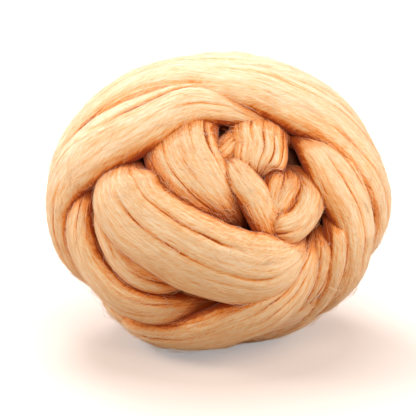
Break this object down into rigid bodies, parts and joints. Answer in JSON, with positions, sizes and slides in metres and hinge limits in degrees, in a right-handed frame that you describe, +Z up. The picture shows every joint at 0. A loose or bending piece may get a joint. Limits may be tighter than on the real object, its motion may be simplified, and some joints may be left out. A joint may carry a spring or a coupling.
{
  "type": "wool roving ball",
  "caption": "Hand-wound ball of soft combed wool roving, its broad grooved turns crossing and tucking under each other, with a small flat spot to stand on.",
  "frame": {"origin": "middle of the flat spot that the ball stands on", "axes": "+Z up, +X to the right across the ball's widest side, -Y towards the side where the turns close round the heart of the ball"},
  "size_m": [0.1517, 0.1409, 0.129],
  "materials": {
    "combed_wool": "soft combed undyed-look peach wool, matt with a faint sheen along the fibres"
  },
  "bodies": {
    "root": {"roving_ball": "combed_wool"}
  },
  "joints": []
}
